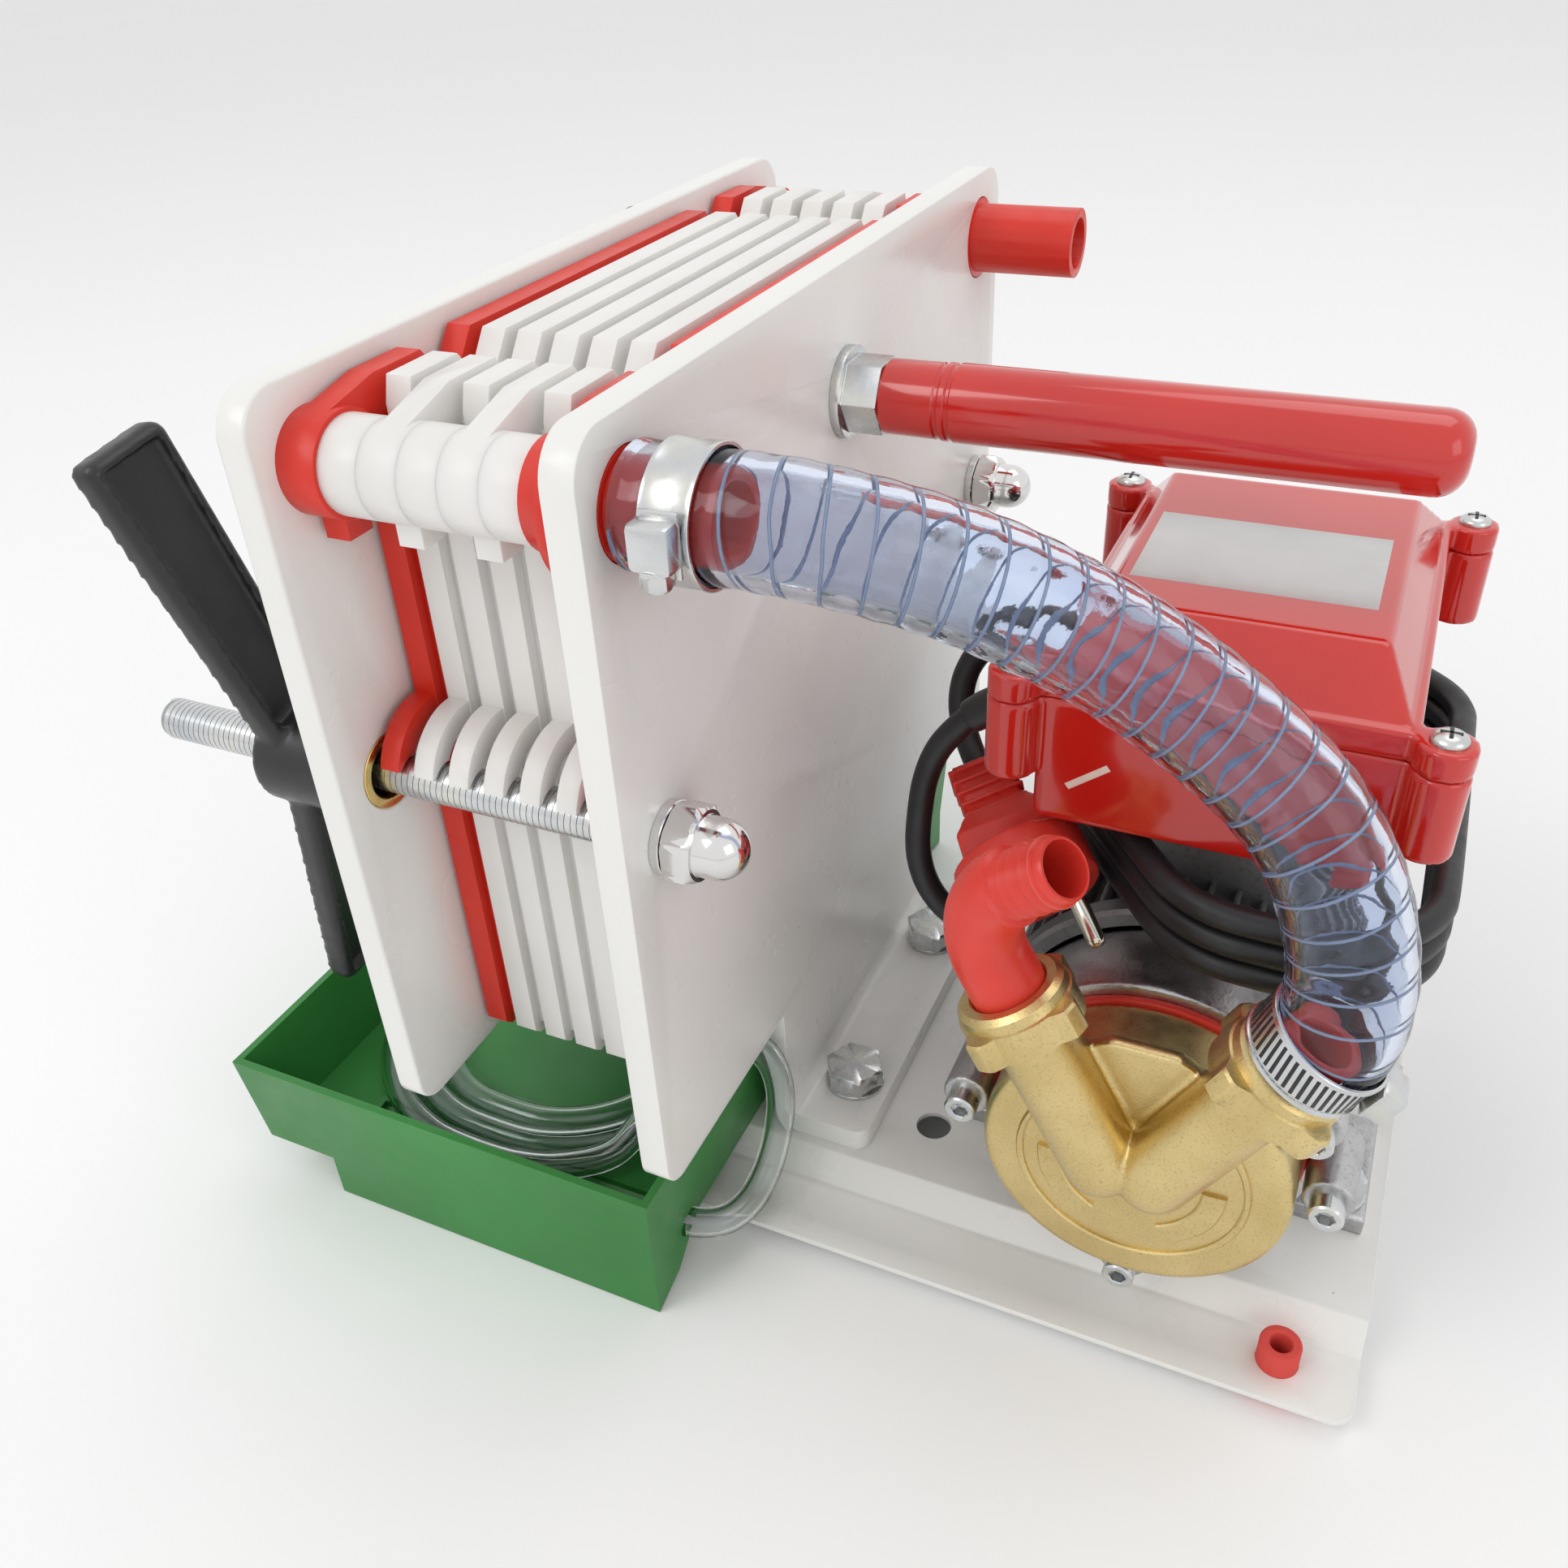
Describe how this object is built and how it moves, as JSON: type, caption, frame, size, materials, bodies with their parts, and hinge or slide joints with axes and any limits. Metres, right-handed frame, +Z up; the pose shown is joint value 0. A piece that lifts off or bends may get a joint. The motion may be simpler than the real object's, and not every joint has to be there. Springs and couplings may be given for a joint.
{
  "type": "plate filter press",
  "caption": "Bench-top plate filter press: filter plates clamped between two end plates on tie rods by wing nuts, fed by a self-priming pump through a hose.",
  "frame": {"origin": "at table level, in the middle of the four feet", "axes": "+X along the plate stack towards the pump, -Y is the front, +Z up"},
  "size_m": [0.336, 0.2764, 0.272],
  "materials": {
    "white_paint": "satin white powder coat",
    "white_plastic": "milky polypropylene",
    "red_plastic": "moulded red polypropylene",
    "red_gloss": "glossy red",
    "black_plastic": "satin black nylon",
    "zinc_steel": "bright zinc-plated steel",
    "polished_steel": "polished stainless steel",
    "brass": "as-cast and turned brass",
    "grey_motor": "dark grey paint on cast aluminium",
    "aluminium": "die-cast aluminium",
    "green_plastic": "green vacuum-formed plastic",
    "clear_hose": "clear soft PVC",
    "clear_tube": "clear soft PVC",
    "black_rubber": "black cord sheath",
    "nickel": "nickel-plated brass",
    "red_rubber": "red rubber"
  },
  "bodies": {
    "root": {"base_plate": "white_paint", "rubber_feet": "red_rubber", "fixed_end_plate": "white_paint", "foot_bolts": "zinc_steel", "tie_rod_near": "zinc_steel", "tie_rod_far": "zinc_steel", "cap_nut_near": "polished_steel", "cap_nut_far": "polished_steel", "handle_grip": "red_gloss", "handle_fixing": "zinc_steel", "fixed_red_plate": "red_plastic", "motor_body": "grey_motor", "motor_fan_cover": "black_plastic", "motor_feet": "aluminium", "motor_foot_nuts": "zinc_steel", "pump_casing": "aluminium", "pump_gasket": "red_plastic", "pump_head": "brass", "pump_screws": "zinc_steel", "union_ring_left": "brass", "union_ring_right": "brass", "suction_elbow": "red_plastic", "delivery_tail": "red_plastic", "inlet_hose": "clear_hose", "inlet_hose_clamp": "zinc_steel", "pump_hose_clamp": "zinc_steel", "terminal_box": "red_gloss", "terminal_box_lid": "red_gloss", "lid_screws": "zinc_steel", "drip_tray": "green_plastic", "power_cord_coil": "black_rubber", "power_cord_tube": "black_rubber", "cable_gland": "black_plastic", "mains_plug": "red_rubber", "plug_pins": "nickel", "drain_tube": "clear_tube", "drain_tube_coil": "clear_tube"},
    "pressure_plate": {"moving_end_plate": "white_paint", "guide_bushings": "brass"},
    "wing_nut_near": {"wing_nut_near": "black_plastic"},
    "wing_nut_far": {"wing_nut_far": "black_plastic"},
    "moving_red_plate": {"moving_red_plate": "red_plastic"},
    "white_plate_1": {"white_plate_1": "white_plastic"},
    "white_plate_2": {"white_plate_2": "white_plastic"},
    "white_plate_3": {"white_plate_3": "white_plastic"},
    "white_plate_4": {"white_plate_4": "white_plastic"},
    "white_plate_5": {"white_plate_5": "white_plastic"}
  },
  "joints": [
    {"name": "pressure_plate_slide", "type": "slide", "parent": "root", "child": "pressure_plate", "axis": [-1, 0, 0], "range_m": [0, 0.036]},
    {"name": "wing_nut_near_turn", "type": "hinge", "parent": "pressure_plate", "child": "wing_nut_near", "pos_m": [-0.12, -0.1125, 0.1705], "axis": [1, 0, 0], "continuous": true},
    {"name": "wing_nut_far_turn", "type": "hinge", "parent": "pressure_plate", "child": "wing_nut_far", "pos_m": [-0.12, 0.1125, 0.1705], "axis": [1, 0, 0], "continuous": true},
    {"name": "moving_red_plate_slide", "type": "slide", "parent": "root", "child": "moving_red_plate", "axis": [-1, 0, 0], "range_m": [0, 0.03096]},
    {"name": "white_plate_1_slide", "type": "slide", "parent": "root", "child": "white_plate_1", "axis": [-1, 0, 0], "range_m": [0, 0.02581]},
    {"name": "white_plate_2_slide", "type": "slide", "parent": "root", "child": "white_plate_2", "axis": [-1, 0, 0], "range_m": [0, 0.02067]},
    {"name": "white_plate_3_slide", "type": "slide", "parent": "root", "child": "white_plate_3", "axis": [-1, 0, 0], "range_m": [0, 0.01553]},
    {"name": "white_plate_4_slide", "type": "slide", "parent": "root", "child": "white_plate_4", "axis": [-1, 0, 0], "range_m": [0, 0.01039]},
    {"name": "white_plate_5_slide", "type": "slide", "parent": "root", "child": "white_plate_5", "axis": [-1, 0, 0], "range_m": [0, 0.00524]}
  ],
  "couplings": [
    {"joint": "moving_red_plate_slide", "follows": "pressure_plate_slide", "ratio": 0.85714},
    {"joint": "white_plate_1_slide", "follows": "pressure_plate_slide", "ratio": 0.71429},
    {"joint": "white_plate_2_slide", "follows": "pressure_plate_slide", "ratio": 0.57143},
    {"joint": "white_plate_3_slide", "follows": "pressure_plate_slide", "ratio": 0.42857},
    {"joint": "white_plate_4_slide", "follows": "pressure_plate_slide", "ratio": 0.28571},
    {"joint": "white_plate_5_slide", "follows": "pressure_plate_slide", "ratio": 0.14286}
  ]
}
